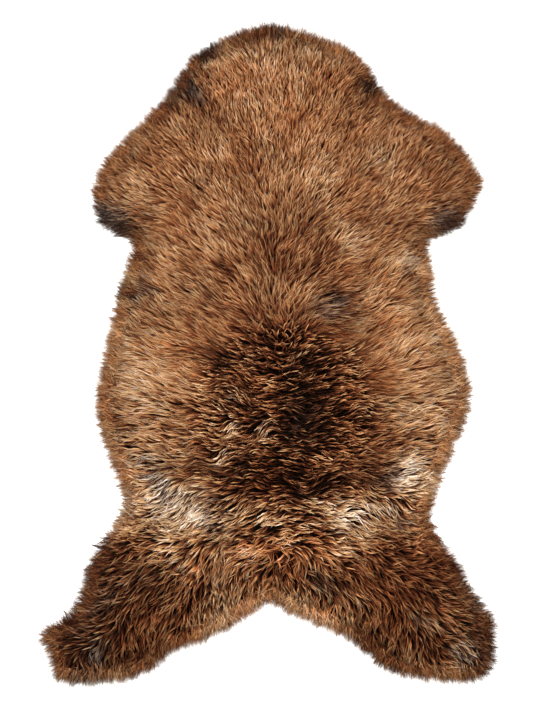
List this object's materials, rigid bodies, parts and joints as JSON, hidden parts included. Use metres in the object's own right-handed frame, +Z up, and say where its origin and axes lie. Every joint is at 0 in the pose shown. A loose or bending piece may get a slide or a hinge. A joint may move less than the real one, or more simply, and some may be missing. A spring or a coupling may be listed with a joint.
{
  "type": "lambskin rug",
  "caption": "Flat lambskin rug: a whole tanned pelt with its brown wool on, cut to the outline of neck, forelegs, body and splayed hind legs, with a lumpy combed pile and locks round its rim.",
  "frame": {"origin": "on the surface that the skin lies on, under the middle of its box", "axes": "+Z up out of the wool, +Y from the rump to the neck, +X to the right as seen from above"},
  "size_m": [0.6952, 0.9964, 0.0374],
  "materials": {
    "wool": "combed natural brown wool"
  },
  "bodies": {
    "root": {"lambskin": "wool"}
  },
  "joints": []
}
